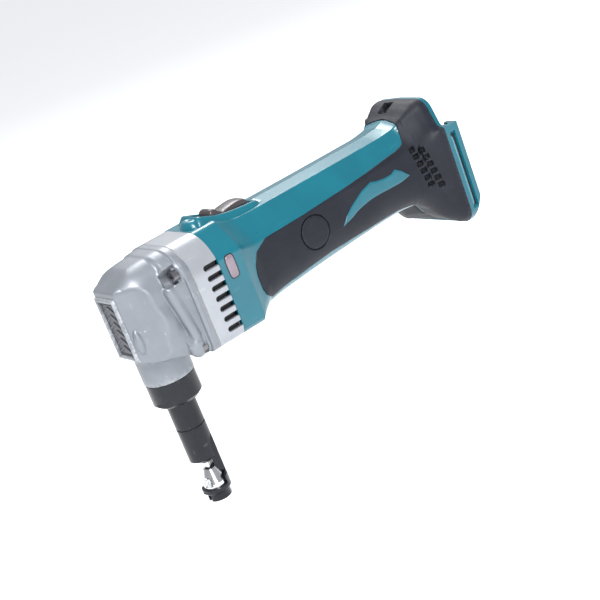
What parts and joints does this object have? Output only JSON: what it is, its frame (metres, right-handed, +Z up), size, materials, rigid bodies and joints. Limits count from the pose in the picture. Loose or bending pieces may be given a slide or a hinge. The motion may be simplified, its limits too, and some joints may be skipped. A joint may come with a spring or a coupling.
{
  "type": "cordless nibbler",
  "caption": "Bare cordless nibbler: moulded handle with battery foot, cast gear head, and a punch and die on a slim holder below it.",
  "frame": {"origin": "the cutting point: centre of the die's top face on the punch axis", "axes": "+Z up along the punch axis from die to head, +X from the head to the battery foot"},
  "size_m": [0.2626, 0.075, 0.1692],
  "materials": {
    "housing_teal": "satin moulded plastic",
    "grip_dark": "soft touch, fine matt texture",
    "cast_silver": "satin painted casting",
    "ring_silver": "satin moulded plastic",
    "plate_dark": "brushed plate",
    "tool_black": "black oxide, oiled",
    "tool_bright": "ground bright",
    "screw_dark": "zinc plated",
    "steel_plain": "machined",
    "copper_wire": "enamelled copper",
    "magnet_dark": "ferrite",
    "carbon": "pressed carbon",
    "brass_plain": "pressed sheet",
    "black_plastic": "moulded",
    "knob_brown": "satin moulded plastic",
    "lens_clear": "clear moulded plastic",
    "board_green": "circuit board",
    "felt_grey": "felt",
    "bronze": "sintered bronze"
  },
  "bodies": {
    "tool": {"housing_left": "housing_teal", "housing_right": "housing_teal", "grip_left": "grip_dark", "grip_right": "grip_dark", "vent_ring": "ring_silver", "gear_housing": "cast_silver", "name_plate": "plate_dark", "gasket": "felt_grey", "gear_housing_screws": "screw_dark", "housing_screws": "screw_dark", "lamp_lens": "lens_clear", "lamp_board": "board_green", "motor_yoke": "steel_plain", "magnet_upper": "magnet_dark", "magnet_lower": "magnet_dark", "front_bearing": "steel_plain", "rear_bearing": "steel_plain", "crank_bearing": "steel_plain", "switch_body": "black_plastic", "controller_board": "board_green", "terminal_block": "black_plastic", "terminal_blade_left": "brass_plain", "terminal_blade_right": "brass_plain", "signal_blade": "brass_plain", "layshaft_front_bush": "bronze", "layshaft_rear_bush": "bronze", "guide_sleeve": "steel_plain", "plunger_seal": "felt_grey", "brush_holder_left": "brass_plain", "brush_holder_right": "brass_plain", "carbon_brush_left": "carbon", "carbon_brush_right": "carbon", "brush_spring_left": "steel_plain", "brush_spring_right": "steel_plain", "brush_cap_left": "black_plastic", "brush_cap_right": "black_plastic", "brush_cover_left": "grip_dark", "brush_cover_right": "grip_dark"},
    "armature": {"rotor_shaft": "steel_plain", "rotor_core": "steel_plain", "rotor_windings": "copper_wire", "commutator": "copper_wire", "fan": "black_plastic"},
    "countershaft": {"layshaft": "steel_plain", "layshaft_gear": "steel_plain"},
    "crank": {"crankshaft": "steel_plain", "crank_gear": "steel_plain", "crank_roller": "steel_plain"},
    "plunger": {"yoke_slider": "steel_plain", "punch_holder": "steel_plain", "punch": "tool_bright"},
    "die_head": {"die_holder": "tool_black", "die": "tool_bright", "die_screw": "screw_dark"},
    "nut_ring": {"lock_washer": "tool_black"},
    "clamp_nut": {"lock_nut": "tool_black"},
    "switch_slide": {"switch_link": "black_plastic"},
    "switch_thumb": {"switch_knob": "knob_brown"}
  },
  "joints": [
    {"name": "motor_turn", "type": "hinge", "parent": "tool", "child": "armature", "pos_m": [0.08, 0, 0.1075], "axis": [1, 0, 0], "range_deg": [0, 2175]},
    {"name": "countershaft_turn", "type": "hinge", "parent": "tool", "child": "countershaft", "pos_m": [0.018, 0, 0.12175], "axis": [1, 0, 0], "range_deg": [-580.5, 0.5]},
    {"name": "crank_turn", "type": "hinge", "parent": "tool", "child": "crank", "pos_m": [0.01, 0, 0.1075], "axis": [1, 0, 0], "range_deg": [-0.5, 180.5]},
    {"name": "punch_stroke", "type": "slide", "parent": "tool", "child": "plunger", "axis": [0, 0, -1], "range_m": [-0.00005, 0.00555]},
    {"name": "die_swivel", "type": "hinge", "parent": "tool", "child": "die_head", "pos_m": [0, 0, 0.03], "axis": [0, 0, 1], "continuous": true},
    {"name": "nut_travel", "type": "slide", "parent": "tool", "child": "nut_ring", "axis": [0, 0, -1], "range_m": [-0.00002, 0.00152]},
    {"name": "nut_turn", "type": "hinge", "parent": "nut_ring", "child": "clamp_nut", "pos_m": [0, 0, 0.058], "axis": [0, 0, -1], "range_deg": [0, 360]},
    {"name": "switch_travel", "type": "slide", "parent": "tool", "child": "switch_slide", "axis": [-1, 0, 0], "range_m": [0, 0.006], "stiffness_N_per_m": 150, "springref_m": -0.001},
    {"name": "switch_rock", "type": "hinge", "parent": "switch_slide", "child": "switch_thumb", "pos_m": [0.079, 0, 0.1354], "axis": [0, 1, 0], "range_deg": [-3, 3], "stiffness_Nm_per_rad": 0.5}
  ],
  "couplings": [
    {"joint": "countershaft_turn", "follows": "motor_turn", "ratio": -0.26667},
    {"joint": "crank_turn", "follows": "motor_turn", "ratio": 0.082759},
    {"joint": "punch_stroke", "follows": "motor_turn", "m_per_rad": 0.00014489},
    {"joint": "nut_travel", "follows": "nut_turn", "m_per_rad": 0.00023873}
  ]
}
